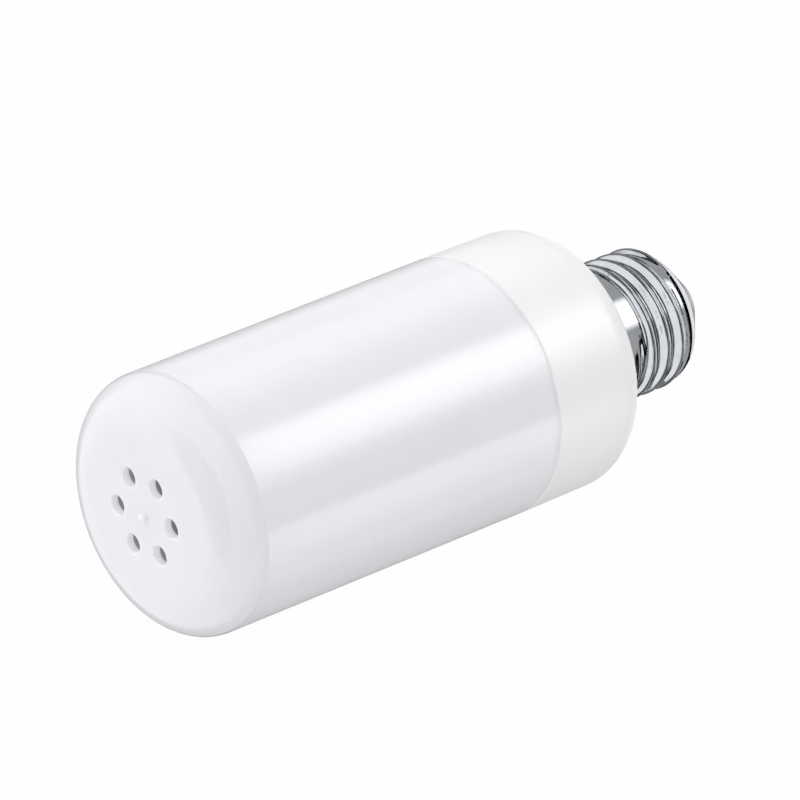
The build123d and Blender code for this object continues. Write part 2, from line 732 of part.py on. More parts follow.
def choke_place():
    """Where the choke stands, with its own Z out of the board."""
    reach = CHOKE_RADIUS + BOARD_EDGE
    return Pos(reach - choke_wing, front_y + TOUCH, wing_foot + reach) * Rot(-90, 0, 0)


def fuse_place():
    """X, y and foot of the fusible resistor, beside the can in the neck."""
    x = CAN_RADIUS + RESISTOR_RADIUS + FIT
    return x, front_y + RESISTOR_RADIUS + FIT, board_foot + RESISTOR_LIFT


def fusible_resistor():
    """Waisted axial resistor between the live wire and the driver board."""
    x, y, foot = fuse_place()
    top = foot + RESISTOR_LENGTH
    cup = RESISTOR_LENGTH / 4
    body = rod(RESISTOR_RADIUS * 0.85, foot, top, x, y)
    for z in (foot, top - cup):
        end = rod(RESISTOR_RADIUS, z, z + cup, x, y)
        body += fillet(end.edges().filter_by(GeomType.CIRCLE), RESISTOR_RADIUS * 0.3)
    body += rod(LEAD, foot - 3 * LEAD, foot + LEAD, x, y)
    turn_z = top + 4 * LEAD
    body += bent([(x, y, top - LEAD), (x, y, turn_z), (x, front_y + TOUCH, turn_z)], LEAD, 2 * LEAD)
    return body


def live_wire():
    """Insulated wire from inside the contact's stem to the fusible resistor."""
    x, y, foot = fuse_place()
    end = foot - 3 * LEAD - TOUCH
    points = [(0, 0, CONTACT_HEAD), (0, 0, stem_top), (x, y, end - 2), (x, y, end)]
    return bent(points, LIVE_RADIUS, 1.3)


def neutral_wire():
    """Bare wire from the driver board through the neck's notch, turned up between neck and shell."""
    x = -(neck_half - RAIL - 2 * NEUTRAL_RADIUS - LOOSE)
    y = front_y + NEUTRAL_RADIUS + TOUCH
    pass_z = neck_foot + NOTCH_HEIGHT / 2
    groove_x = -(neck_radius - NEUTRAL_RADIUS)
    points = [
        (x, y, board_foot + 4),
        (x, y, board_foot - 0.5),
        (-neck_bore + 2, 0, pass_z),
        (groove_x, 0, pass_z),
        (groove_x, 0, groove_top - 1),
    ]
    return bent(points, NEUTRAL_RADIUS, 0.8)


def end_leads():
    """Pair of wires up the middle of the drum from the control board to the end board."""
    wires = []
    for side in (-1, 1):
        foot_x, head_x = side * 2.5, side * 2.0
        points = [
            (foot_x, -6.5, drum_z + TOUCH),
            (foot_x, -6.5, drum_z + 8),
            (head_x, -2.0, drum_z + 16),
            (head_x, -2.0, drum_top - TOUCH),
        ]
        wires.append(bent(points, LEAD_WIRE_RADIUS, 5))
    return Compound(wires)


PIECES = (
    diffuser_cover,
    base_housing,
    screw_shell,
    cap_insulator,
    centre_contact,
    live_wire,
    neutral_wire,
    driver_board,
    fusible_resistor,
    bridge_rectifier,
    input_capacitor,
    choke_core,
    choke_winding,
    driver_chip,
    buck_diode,
    output_capacitor,
    pin_strip,
    supply_pins,
    control_board,
    control_chip,
    row_transistors,
    row_resistors,
    core_tube,
    core_screws,
    led_sheet,
    side_leds,
    end_leads,
    end_board,
    end_leds,
    end_screws,
)

os.makedirs("parts", exist_ok=True)
for piece in PIECES:
    export_step(piece(), f"parts/{piece.__name__}.step")
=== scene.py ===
"""Finishes, small details and studio of a flame effect lamp, in metres and in the lamp's own frame.

Z runs up the axis from the tip of the centre contact to the vented end.
"""

import logging
import math
from dataclasses import dataclass
from enum import Enum
from typing import Callable, ClassVar

import bmesh
import bpy
from mathutils import Matrix, Vector


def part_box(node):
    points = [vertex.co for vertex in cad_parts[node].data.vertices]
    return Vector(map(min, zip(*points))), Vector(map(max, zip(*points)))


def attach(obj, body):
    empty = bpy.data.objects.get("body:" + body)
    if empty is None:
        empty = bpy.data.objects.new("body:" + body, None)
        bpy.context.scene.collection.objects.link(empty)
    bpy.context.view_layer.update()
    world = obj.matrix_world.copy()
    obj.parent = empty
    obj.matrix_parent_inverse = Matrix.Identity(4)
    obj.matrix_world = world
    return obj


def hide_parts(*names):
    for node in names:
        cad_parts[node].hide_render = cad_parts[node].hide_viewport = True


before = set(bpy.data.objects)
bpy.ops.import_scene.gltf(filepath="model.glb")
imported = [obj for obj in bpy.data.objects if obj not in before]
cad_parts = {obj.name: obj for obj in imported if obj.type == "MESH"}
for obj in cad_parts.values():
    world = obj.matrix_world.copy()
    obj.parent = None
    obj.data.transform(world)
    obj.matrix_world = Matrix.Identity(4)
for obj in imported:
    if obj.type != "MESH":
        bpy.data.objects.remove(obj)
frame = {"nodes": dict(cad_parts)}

Colour = tuple[float, float, float]
Span = tuple[float, float]
Socket = bpy.types.NodeSocket
Value = float | tuple[float, ...] | Socket
Chooser = Callable[[bpy.types.MeshPolygon], int]

MM = 0.001
MICRON = 0.000001
WHITE = (1.0, 1.0, 1.0, 1.0)
BLACK = (0.0, 0.0, 0.0, 1.0)
RED: Colour = (0.45, 0.02, 0.015)
PICTURE_SIDE = 800

log = logging.getLogger("lamp")


def dimmed(colour: Colour, share: float) -> Colour:
    """Gives a colour with each channel brought down to a share of itself."""
    return tuple(channel * share for channel in colour)


class Surface(Enum):
    """How coarse the mould left a surface, as bump distance in metres."""

    POLISHED = 2 * MICRON
    SATIN = 8 * MICRON


class Wiring:
    """Node tree that is built a node at a time."""

    def __init__(self, tree: bpy.types.NodeTree) -> None:
        """Empties the tree.

        Args:
            tree: The tree of a material or of the world.
        """
        self.tree = tree
        self.tree.nodes.clear()

    def node(
        self, kind: str, inputs: dict[str | int, Value] | None = None, **settings: object
    ) -> bpy.types.Node:
        """Adds a node.

        Args:
            kind: The node's type after "ShaderNode".
            inputs: Socket name or number to a constant or to the socket that feeds it.
            settings: Properties of the node itself.

        Returns:
            The new node.
        """
        made = self.tree.nodes.new("ShaderNode" + kind)
        for key, value in settings.items():
            setattr(made, key, value)
        for key, value in (inputs or {}).items():
            socket = made.inputs[key]
            if isinstance(value, Socket):
                self.tree.links.new(value, socket)
            else:
                socket.default_value = value
        return made

    def maths(self, operation: str, *numbers: Value) -> Socket:
        """Adds a step of arithmetic.

        Args:
            operation: The step's name in the Math node.
            numbers: What it works on.

        Returns:
            The socket with the result.
        """
        return self.node("Math", dict(enumerate(numbers)), operation=operation).outputs[0]

    def seen(self) -> Socket:
        """Tells rays from the camera, from gloss and through glass from the others.

        Returns:
            The socket that is 1 on those rays and 0 on others.
        """
        path = self.node("LightPath").outputs
        shown = self.maths("MAXIMUM", path["Is Camera Ray"], path["Is Glossy Ray"])
        return self.maths("MAXIMUM", shown, path["Is Transmission Ray"])


class Recipe(Wiring):
    """Node tree of one material."""

    def __init__(self, name: str) -> None:
        """Starts an empty material.

        Args:
            name: The material's name.
        """
        self.material = bpy.data.materials.new(name)
        self.material.use_nodes = True
        super().__init__(self.material.node_tree)

    def place(self) -> Socket:
        """Gives the position in the lamp's frame, in metres."""
        return self.node("TexCoord").outputs["Object"]

    def parts(self) -> bpy.types.NodeOutputs:
        """Gives the position's three parts by name."""
        return self.node("SeparateXYZ", {0: self.place()}).outputs

    def noise(self, scale: float, detail: float = 3.0, stretch: Colour = (1.0, 1.0, 1.0)) -> Socket:
        """Adds noise over the lamp's frame.

        Args:
            scale: Noise cells in a metre.
            detail: Octaves.
            stretch: Factor on the scale along each axis.

        Returns:
            The socket with the noise, about 0 to 1.
        """
        mapping = self.node("Mapping", {"Vector": self.place(), "Scale": stretch})
        found = self.node("TexNoise", {"Vector": mapping.outputs[0], "Scale": scale, "Detail": detail})
        return found.outputs["Fac"]

    def ramp(self, fac: Socket, low: Colour, high: Colour, change: Span) -> Socket:
        """Turns a number into a colour between two.

        Args:
            fac: The number.
            low: Colour for small numbers.
            high: Colour for large numbers.
            change: Numbers between which the colour changes.

        Returns:
            The colour's socket.
        """
        made = self.node("ValToRGB", {"Fac": fac})
        first, last = made.color_ramp.elements
        first.position, last.position = change
        first.color, last.color = (*low, 1.0), (*high, 1.0)
        return made.outputs["Color"]

    def spread(self, fac: Socket, ends: Span, middle: float = 1.0) -> Socket:
        """Maps a number that runs from 0 to 1 onto another span.

        Args:
            fac: The number.
            ends: What 0 and 1 become, as shares of the middle.
            middle: The number that they are shares of.

        Returns:
            The socket with the new number.
        """
        low, high = ends
        made = self.node("MapRange", {"Value": fac, "To Min": middle * low, "To Max": middle * high})
        return made.outputs["Result"]

    def bump(self, height: Socket, distance: float) -> Socket:
        """Adds bump.

        Args:
            height: The height's socket, 0 to 1.
            distance: Depth of the bump in metres.

        Returns:
            The normal's socket.
        """
        made = self.node("Bump", {"Height": height, "Distance": distance, "Strength": 1.0})
        return made.outputs["Normal"]

    def mix(self, fac: Socket, first: Value, second: Value) -> Socket:
        """Mixes two colours.

        Args:
            fac: Share of the second.
            first: First colour.
            second: Second colour.

        Returns:
            The colour's socket.
        """
        ends = {"Factor": fac, "A": first, "B": second}
        return self.node("Mix", ends, data_type="RGBA").outputs["Result"]

    def close(self, shader: bpy.types.Node) -> bpy.types.Material:
        """Closes the tree with its last shader.

        Args:
            shader: The shader that the surface shows.

        Returns:
            The material.
        """
        self.node("OutputMaterial", {"Surface": shader.outputs[0]})
        return self.material

    def finish(self, inputs: dict[str, Value]) -> bpy.types.Material:
        """Closes the tree with the common surface shader.

        Args:
            inputs: The shader's sockets by name.

        Returns:
            The material.
        """
        return self.close(self.node("BsdfPrincipled", inputs))


@dataclass(frozen=True)
class MouldedPlastic:
    """Injection moulded plastic, milky where light sinks into it.

    Its glow is painted light: emission in place of light soaking through a thin milky wall from the far
    side.
    """

    patches: ClassVar[float] = 90.0
    grains: ClassVar[float] = 6000.0
    detail: ClassVar[float] = 2.0
    clouded: ClassVar[float] = 0.985
    change: ClassVar[Span] = (0.35, 0.65)
    sheen: ClassVar[Span] = (0.95, 1.05)
    reach_by_channel: ClassVar[Colour] = (1.0, 0.95, 0.9)

    name: str
    colour: Colour
    roughness: float = 0.35
    surface: Surface = Surface.SATIN
    milky: float = 0.0
    sink: float = 2.0 * MM
    gloss: float = 1.5
    glow: float = 0.0

    def material(self) -> bpy.types.Material:
        """Makes the material: faint clouding of colour and sheen, and the mould's texture.

        Returns:
            The material.
        """
        recipe = Recipe(self.name)
        cloud = recipe.noise(self.patches, self.detail)
        grain = recipe.noise(self.grains, self.detail)
        shade = dimmed(self.colour, self.clouded)
        inputs: dict[str, Value] = {
            "Base Color": recipe.ramp(cloud, shade, self.colour, self.change),
            "Roughness": recipe.spread(cloud, self.sheen, self.roughness),
            "IOR": self.gloss,
            "Normal": recipe.bump(grain, self.surface.value),
        }
        if self.milky:
            inputs["Subsurface Weight"] = self.milky
            inputs["Subsurface Radius"] = self.reach_by_channel
            inputs["Subsurface Scale"] = self.sink
        # painted glow: emission in the plastic's own colour, in place of light through the wall
        if self.glow:
            inputs["Emission Color"] = (*self.colour, 1.0)
            inputs["Emission Strength"] = self.glow
        return recipe.finish(inputs)


@dataclass(frozen=True)
class PlatedMetal:
    """Nickel or zinc plate with fine lines from drawing and rolling."""

    patches: ClassVar[float] = 400.0
    detail: ClassVar[float] = 4.0
    rows: ClassVar[float] = 300.0
    round_axis: ClassVar[Colour] = (0.4, 0.4, 40.0)
    hazy: ClassVar[float] = 0.9
    change: ClassVar[Span] = (0.3, 0.6)
    sheen: ClassVar[Span] = (0.8, 1.25)
    line_depth: ClassVar[float] = 10 * MICRON

    name: str
    colour: Colour
    roughness: float
    lines: float = 0.3

    def material(self) -> bpy.types.Material:
        """Makes the material: faint haze, and lines that run round the axis.

        Returns:
            The material.
        """
        recipe = Recipe(self.name)
        haze = recipe.noise(self.patches, self.detail)
        rolled = recipe.noise(self.rows, stretch=self.round_axis)
        dull = dimmed(self.colour, self.hazy)
        return recipe.finish(
            {
                "Base Color": recipe.ramp(haze, dull, self.colour, self.change),
                "Metallic": 1.0,
                "Roughness": recipe.spread(haze, self.sheen, self.roughness),
                "Normal": recipe.bump(rolled, self.lines * self.line_depth),
            }
        )


@dataclass(frozen=True)
class Lacquer:
    """Smooth coloured coat with a soft shine, on wire, board, can or package."""

    grains: ClassVar[float] = 2500.0
    change: ClassVar[Span] = (0.4, 0.6)
    sheen: ClassVar[Span] = (0.85, 1.15)
    depth: ClassVar[float] = 5 * MICRON

    name: str
    colour: Colour
    roughness: float = 0.3
    speckle: float = 0.25

    def material(self) -> bpy.types.Material:
        """Makes the material: fine speckle in colour and a little bump.

        Returns:
            The material.
        """
        recipe = Recipe(self.name)
        grain = recipe.noise(self.grains)
        dark = dimmed(self.colour, 1 - self.speckle)
        return recipe.finish(
            {
                "Base Color": recipe.ramp(grain, dark, self.colour, self.change),
                "Roughness": recipe.spread(grain, self.sheen, self.roughness),
                "Normal": recipe.bump(grain, self.depth),
            }
        )


class Lie(Enum):
    """How a board lies in the lamp's frame."""

    FLAT = "flat"
    UPRIGHT = "upright"
    WRAPPED = "wrapped"


@dataclass(frozen=True)
class PrintedBoard:
    """Solder mask over copper areas, seen as slightly lighter and raised rows.

    length is an area's length, short the share of it that every third row's areas have, and
    bend the radius along which a wrapped board is measured.
    """

    faint: ClassVar[float] = 0.6
    edge: ClassVar[float] = 0.1
    patches: ClassVar[float] = 800.0
    sheen: ClassVar[Span] = (0.25, 0.38)

    name: str
    mask: Colour
    track: Colour
    lie: Lie
    row: float = 1.27 * MM
    length: float = 5.1 * MM
    short: float = 0.6
    short_every: int = 3
    gap: float = 0.12 * MM
    bend: float = 16.0 * MM
    lift: float = 30 * MICRON

    def _along(self, recipe: Recipe) -> Socket:
        """Measures along the board's own surface.

        Args:
            recipe: The board's material.

        Returns:
            The socket with the place on that surface, in metres.
        """
        parts = recipe.parts()
        if self.lie is Lie.FLAT:
            across, up = parts["X"], parts["Y"]
        elif self.lie is Lie.UPRIGHT:
            across, up = parts["X"], parts["Z"]
        else:
            turn = recipe.maths("ARCTAN2", parts["Y"], parts["X"])
            across, up = recipe.maths("MULTIPLY", turn, self.bend), parts["Z"]
        return recipe.node("CombineXYZ", {0: across, 1: up}).outputs[0]

    def _copper(self, recipe: Recipe) -> Socket:
        """Lays copper under the mask, in rows with thin gaps between them.

        Args:
            recipe: The board's material.

        Returns:
            The socket that is 0 in the gaps and more on copper.
        """
        rows = recipe.node(
            "TexBrick",
            {
                "Vector": self._along(recipe),
                "Color1": WHITE,
                "Color2": (self.faint, self.faint, self.faint, 1.0),
                "Mortar": BLACK,
                "Scale": 1.0,
                "Mortar Size": self.gap,
                "Mortar Smooth": self.edge,
                "Brick Width": self.length,
                "Row Height": self.row,
            },
            squash=self.short,
            squash_frequency=self.short_every,
        )
        return rows.outputs["Color"]

    def material(self) -> bpy.types.Material:
        """Makes the material: the mask, lighter and raised over the copper.

        Returns:
            The material.
        """
        recipe = Recipe(self.name)
        copper = self._copper(recipe)
        return recipe.finish(
            {
                "Base Color": recipe.mix(copper, (*self.mask, 1.0), (*self.track, 1.0)),
                "Roughness": recipe.spread(recipe.noise(self.patches), self.sheen),
                "Normal": recipe.bump(copper, self.lift),
            }
        )


@dataclass(frozen=True)
class ChipCeramic:
    """Dark coat of a chip resistor between its two tinned ends, told apart by the distance from the axis."""

    grains: ClassVar[float] = 3000.0
    speckled: ClassVar[float] = 0.7
    change: ClassVar[Span] = (0.4, 0.6)
    sheen: ClassVar[Span] = (0.28, 0.45)
    depth: ClassVar[float] = 10 * MICRON

    name: str
    coat: Colour
    tin: Colour
    ring: float
    half_coat: float = 0.68 * MM

    def _end(self, recipe: Recipe) -> Socket:
        """Tells the tinned ends from the coat between them.

        Args:
            recipe: The chip's material.

        Returns:
            The socket that is 1 on the ends and 0 on the coat.
        """
        parts = recipe.parts()
        flat = recipe.node("CombineXYZ", {0: parts["X"], 1: parts["Y"]}).outputs[0]
        radius = recipe.node("VectorMath", {0: flat}, operation="LENGTH").outputs["Value"]
        away = recipe.maths("ABSOLUTE", recipe.maths("SUBTRACT", radius, self.ring))
        return recipe.maths("GREATER_THAN", away, self.half_coat)

    def material(self) -> bpy.types.Material:
        """Makes the material: speckled coat, and ends of dull metal.

        Returns:
            The material.
        """
        recipe = Recipe(self.name)
        end = self._end(recipe)
        grain = recipe.noise(self.grains)
        coat = recipe.ramp(grain, dimmed(self.coat, self.speckled), self.coat, self.change)
        return recipe.finish(
            {
                "Base Color": recipe.mix(end, coat, (*self.tin, 1.0)),
                "Metallic": end,
                "Roughness": recipe.spread(grain, self.sheen),
                "Normal": recipe.bump(grain, self.depth),
            }
        )


class Side(Enum):
    """Way in which the leads of a package point."""

    ALONG_Y = "y"
    ALONG_Z = "z"
    OUTWARD = "outward"

    def measure(self, spot: Vector) -> float:
        """Measures along this way.

        Args:
            spot: A point in the lamp's frame.

        Returns:
            How far along it the point lies, in metres.
        """
        if self is Side.OUTWARD:
            return spot.to_2d().length
        return spot.y if self is Side.ALONG_Y else spot.z

    def ends(self, node: str) -> Span:
        """Gives the nearest and the farthest place along this way on a node."""
        spots = [self.measure(corner.co) for corner in frame["nodes"][node].data.vertices]
        return min(spots), max(spots)


@dataclass(frozen=True)
class Leads:
    """Tells a package's tinned leads from its moulded body."""

    node: str
    side: Side
    reach: float = 1.0 * MM
    slack: float = 0.04 * MM

    def choose(self) -> Chooser:
        """Measures the package.

        Returns:
            A chooser: 0 for the body, 1 for the leads.
        """
        near, far = self.side.ends(self.node)
        middle, body = (near + far) / 2, (far - near) / 2 - self.reach + self.slack

        def chooser(face: bpy.types.MeshPolygon) -> int:
            """Gives the number of the face's finish."""
            return int(abs(self.side.measure(face.center) - middle) > body)

        return chooser


@dataclass(frozen=True)
class Can:
    """Tells the sleeve, the bare crown, the stripe, the leads and the seal of a capacitor apart.

    Widths and heights are shares of the can's radius, and bearings are in degrees.
    """

    facing_up: ClassVar[float] = 0.8
    facing_down: ClassVar[float] = -0.9

    node: str
    crown_height: float = 0.35
    foot_width: float = 0.75
    seal_area: float = 0.2 * MM * MM
    stripe_bearing: float = 51.57
    stripe_half: float = 20.0

    def choose(self) -> Chooser:
        """Measures the can.

        Returns:
            A chooser: 0 sleeve, 1 crown, 2 stripe, 3 leads, 4 seal.
        """
        low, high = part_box(self.node)
        radius = (high.x - low.x) / 2
        axis = Vector(((low.x + high.x) / 2, high.y - radius))
        crown = high.z - self.crown_height * radius
        bearing = math.radians(self.stripe_bearing)
        stripe = Vector((math.cos(bearing), math.sin(bearing)))

        def chooser(face: bpy.types.MeshPolygon) -> int:
            """Tells where on the can a face lies.

            Args:
                face: The face.

            Returns:
                The number of its finish.
            """
            out, facing = face.center.to_2d() - axis, face.normal.z
            if out.length < self.foot_width * radius and face.center.z < crown:
                return 4 if facing < self.facing_down and face.area > self.seal_area else 3
            if facing > self.facing_up and face.center.z > crown:
                return 1
            return 2 if out.angle(stripe, math.tau) < math.radians(self.stripe_half) else 0

        return chooser


@dataclass(frozen=True)
class Window:
    """Tells the phosphor at the bottom of a light's shallow window from its package."""

    facing_end: ClassVar[float] = 0.9
    facing_side: ClassVar[float] = 0.1

    node: str
    end_facing: bool
    depth: float = 0.08 * MM

    def _plane(self, face: bpy.types.MeshPolygon) -> float:
        """Measures how far out a face's plane lies.

        Args:
            face: The face.

        Returns:
            The plane's distance in metres, or -1 if the face doesn't look outward.
        """
        if self.end_facing:
            return face.center.z if face.normal.z > self.facing_end else -1.0
        out = face.center.to_2d().dot(face.normal.to_2d())
        return out if abs(face.normal.z) < self.facing_side else -1.0

    def choose(self) -> Chooser:
        """Finds the front of the lights.

        Returns:
            A chooser: 0 for the package, 1 for the window's floor.
        """
        front = max(self._plane(face) for face in frame["nodes"][self.node].data.polygons)

        def chooser(face: bpy.types.MeshPolygon) -> int:
            """Gives the number of the face's finish."""
            return int(abs(front - self.depth - self._plane(face)) < self.depth / 2)

        return chooser


@dataclass(frozen=True)
class Turns:
    """Helix of enamelled wire wound on the choke's post, which stands out of the driver board.

    wire is the wire's radius, and pitch the way from turn to turn in such radii.
    """

    name: str = "choke_turns"
    wire: float = 0.19 * MM
    pitch: float = 2.02
    around: int = 32
    section: int = 8

    def _ring(self, made: bmesh.types.BMesh, spot: Vector, out: Vector) -> list[bmesh.types.BMVert]:
        """Adds one ring of the wire's skin.

        Args:
            made: The mesh in work.
            spot: Middle of the wire.
            out: Way from the post's axis to it.

        Returns:
            The ring's corners.
        """
        ring = []
        for part in range(self.section):
            roll = math.tau * part / self.section
            lift = Vector((0.0, self.wire * math.sin(roll), 0.0))
            ring.append(made.verts.new(spot + out * (self.wire * math.cos(roll)) + lift))
        return ring

    def build(self, material: bpy.types.Material) -> bpy.types.Object:
        """Makes the wire where the CAD's plain winding is.

        Args:
            material: Its finish.

        Returns:
            The piece.
        """
        low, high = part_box("choke_winding")
        radius = (high.x - low.x) / 2 - self.wire
        x, z = (low.x + high.x) / 2, (low.z + high.z) / 2
        count = int((high.y - low.y) / (self.pitch * self.wire)) - 1
        rise = (high.y - low.y - 2 * self.wire) / (count * self.around)
        made = bmesh.new()
        rings = []
        for step in range(count * self.around + 1):
            turn = math.tau * step / self.around
            out = Vector((math.cos(turn), 0.0, math.sin(turn)))
            spot = Vector((x, low.y + self.wire + rise * step, z)) + out * radius
            rings.append(self._ring(made, spot, out))
        for first, second in zip(rings, rings[1:]):
            for part in range(self.section):
                after = (part + 1) % self.section
                made.faces.new((first[part], second[part], second[after], first[after]))
        made.faces.new(rings[0])
        made.faces.new(reversed(rings[-1]))
        bmesh.ops.recalc_face_normals(made, faces=made.faces[:])
        mesh = bpy.data.meshes.new(self.name)
        made.to_mesh(mesh)
        made.free()
        mesh.materials.append(material)
        for face in mesh.polygons:
            face.use_smooth = True
        piece = bpy.data.objects.new(self.name, mesh)
        bpy.context.scene.collection.objects.link(piece)
        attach(piece, "root")
        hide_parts("choke_winding")
        log.info("%s wound in %d turns", self.name, count)
        return piece


class Dresser:
    """Gives CAD nodes their finishes and reports each one."""

    def __init__(self, nodes: dict[str, bpy.types.Object]) -> None:
        """Keeps the nodes.

        Args:
            nodes: Node name to object, as the frame gives them.
        """
        self.nodes = nodes

    def dress(self, name: str, *materials: bpy.types.Material, choose: Chooser | None = None) -> None:
        """Puts finishes on a node.

        Args:
            name: The node.
            materials: The finishes, the first for the whole node unless choose says otherwise.
            choose: Gives the number of the finish that a face takes.
        """
        mesh = self.nodes[name].data
        mesh.materials.clear()
        for material in materials:
            mesh.materials.append(material)
        for face in mesh.polygons:
            face.material_index = choose(face) if choose else 0
        log.info("%s wears %s", name, ", ".join(material.name for material in materials))


@dataclass
class Shade:
    """The milky cover and the white housing that it snaps into.

    gate is the height of the nub in the middle of the vented end, and vents are the two distances
    from the axis between which the vents lie.
    """

    facing_side: ClassVar[float] = 0.3
    facing_down: ClassVar[float] = -0.5

    gate: float = 0.8 * MM
    vents: Span = (4.0 * MM, 12.0 * MM)
    milk: Colour = (0.86, 0.86, 0.902)
    cover: MouldedPlastic = MouldedPlastic(
        "milky_plastic", milk, 0.14, surface=Surface.POLISHED, milky=1.0, sink=2.5 * MM
    )
    # painted glow: the vents' walls and the cover's inside emit light, in place of light through the milky
    # wall
    vent: MouldedPlastic = MouldedPlastic("milky_vent_painted_glow", milk, glow=0.21)
    inside: MouldedPlastic = MouldedPlastic("milky_inside_painted_glow", milk, glow=0.08)
    housing: MouldedPlastic = MouldedPlastic("white_plastic", (0.89, 0.89, 0.89), 0.3)

    def build(self, dresser: Dresser) -> None:
        """Dresses both mouldings.

        Args:
            dresser: Holds the nodes.
        """
        milky = (self.cover.material(), self.vent.material(), self.inside.material())
        dresser.dress("diffuser_cover", *milky, choose=self._choose)
        dresser.dress("base_housing", self.housing.material())

    def _choose(self, face: bpy.types.MeshPolygon) -> int:
        """Tells where on the cover a face lies.

        Args:
            face: The face.

        Returns:
            0 for the skin, 1 for a vent's wall with its painted glow, 2 for the inside with a fainter
            painted glow.
        """
        out, facing = face.center.to_2d(), face.normal
        nearest, farthest = self.vents
        if nearest < out.length < farthest and abs(facing.z) < self.facing_side:
            return 1
        return 2 if facing.z < self.facing_down or out.dot(facing.to_2d()) < 0 else 0


@dataclass
class ScrewCap:
    """The rolled shell, its insulator, the contact and the two wires that leave them."""

    shell: PlatedMetal = PlatedMetal("bright_nickel", (0.72, 0.745, 0.785), 0.06)
    contact: PlatedMetal = PlatedMetal("dull_nickel", (0.62, 0.6, 0.56), 0.3, lines=1.0)
    tinned: PlatedMetal = PlatedMetal("tinned_copper", (0.7, 0.7, 0.7), 0.35)
    insulator: Lacquer = Lacquer("white_insulator", (0.8, 0.8, 0.83), 0.15, speckle=0.03)
    red: Lacquer = Lacquer("red_insulation", RED, 0.35, speckle=0.1)

    def build(self, dresser: Dresser) -> None:
        """Dresses the cap and its wires.

        Args:
            dresser: Holds the nodes.
        """
        dresser.dress("screw_shell", self.shell.material())
        dresser.dress("centre_contact", self.contact.material())
        dresser.dress("cap_insulator", self.insulator.material())
        dresser.dress("live_wire", self.red.material())
        dresser.dress("neutral_wire", self.tinned.material())


@dataclass
class Driver:
    """The driver board and the control board, and what stands on them."""

    mask: Colour = (0.01, 0.09, 0.03)
    track: Colour = (0.02, 0.15, 0.05)
    coat: Colour = (0.03, 0.03, 0.033)
    epoxy: Lacquer = Lacquer("moulded_epoxy", (0.02, 0.02, 0.022), 0.5)
    tin: PlatedMetal = PlatedMetal("tinned_lead", (0.72, 0.72, 0.72), 0.3)
    sleeve: Lacquer = Lacquer("can_sleeve", (0.015, 0.016, 0.035), 0.25)
    blue: Lacquer = Lacquer("resistor_lacquer", (0.07, 0.18, 0.3), 0.45)
    ferrite: Lacquer = Lacquer("ground_ferrite", (0.04, 0.04, 0.042), 0.6, speckle=0.5)
    copper: PlatedMetal = PlatedMetal("enamelled_copper", (0.62, 0.2, 0.07), 0.3)
    gold: PlatedMetal = PlatedMetal("plated_pin", (0.85, 0.62, 0.25), 0.25)
    crown: PlatedMetal = PlatedMetal("bare_aluminium", (0.78, 0.79, 0.8), 0.35, lines=0.6)
    stripe: Lacquer = Lacquer("pale_stripe", (0.5, 0.52, 0.55), 0.3, speckle=0.1)
    packages: tuple[Leads, ...] = (
        Leads("bridge_rectifier", Side.ALONG_Z),
        Leads("driver_chip", Side.ALONG_Z),
        Leads("buck_diode", Side.ALONG_Z),
        Leads("control_chip", Side.ALONG_Y),
        Leads("row_transistors", Side.OUTWARD, reach=0.52 * MM),
    )

    def build(self, dresser: Dresser) -> None:
        """Dresses the boards and their parts.

        Args:
            dresser: Holds the nodes.
        """
        epoxy, tin = self.epoxy.material(), self.tin.material()
        for node, lie in (("driver_board", Lie.UPRIGHT), ("control_board", Lie.FLAT)):
            dresser.dress(node, PrintedBoard("green_" + node, self.mask, self.track, lie).material())
        for leads in self.packages:
            dresser.dress(leads.node, epoxy, tin, choose=leads.choose())
        ring = sum(Side.OUTWARD.ends("row_resistors")) / 2
        chip = ChipCeramic("chip_ceramic", self.coat, self.tin.colour, ring)
        dresser.dress("row_resistors", chip.material())
        dresser.dress("pin_strip", epoxy)
        dresser.dress("supply_pins", self.gold.material())
        can = (self.sleeve.material(), self.crown.material(), self.stripe.material(), tin, epoxy)
        for name in ("input_capacitor", "output_capacitor"):
            dresser.dress(name, *can, choose=Can(name).choose())
        dresser.dress("fusible_resistor", self.blue.material())
        dresser.dress("choke_core", self.ferrite.material())
        copper = self.copper.material()
        dresser.dress("choke_winding", copper)
        Turns().build(copper)


@dataclass
class Flame:
    """The drum, its sheet of lights, the end board and the screws and wires that hold and feed them."""

    mask: Colour = (0.74, 0.74, 0.72)
    pale: Colour = (0.8, 0.8, 0.78)
    drum: MouldedPlastic = MouldedPlastic("drum_plastic", pale, 0.45)
    package: Lacquer = Lacquer("light_package", pale, 0.4, speckle=0.05)
    phosphor: Lacquer = Lacquer("phosphor", (0.86, 0.55, 0.08), 0.25, speckle=0.15)
    zinc: PlatedMetal = PlatedMetal("zinc_plate", (0.68, 0.69, 0.7), 0.28, lines=1.0)
    white: Lacquer = Lacquer("white_insulation", (0.7, 0.7, 0.68), 0.4, speckle=0.05)
    red: Lacquer = Lacquer("red_lead_insulation", RED, 0.35, speckle=0.1)

    def build(self, dresser: Dresser) -> None:
        """Dresses the drum and what it carries.

        Args:
            dresser: Holds the nodes.
        """
        package, phosphor, zinc = self.package.material(), self.phosphor.material(), self.zinc.material()
        dresser.dress("core_tube", self.drum.material())
        for node, lie in (("led_sheet", Lie.WRAPPED), ("end_board", Lie.FLAT)):
            dresser.dress(node, PrintedBoard("white_" + node, self.mask, self.pale, lie).material())
        for window in (Window("side_leds", end_facing=False), Window("end_leds", end_facing=True)):
            dresser.dress(window.node, package, phosphor, choose=window.choose())
        dresser.dress("core_screws", zinc)
        dresser.dress("end_screws", zinc)
        leads = (self.white.material(), self.red.material())
        dresser.dress("end_leads", *leads, choose=lambda face: int(face.center.x < 0))


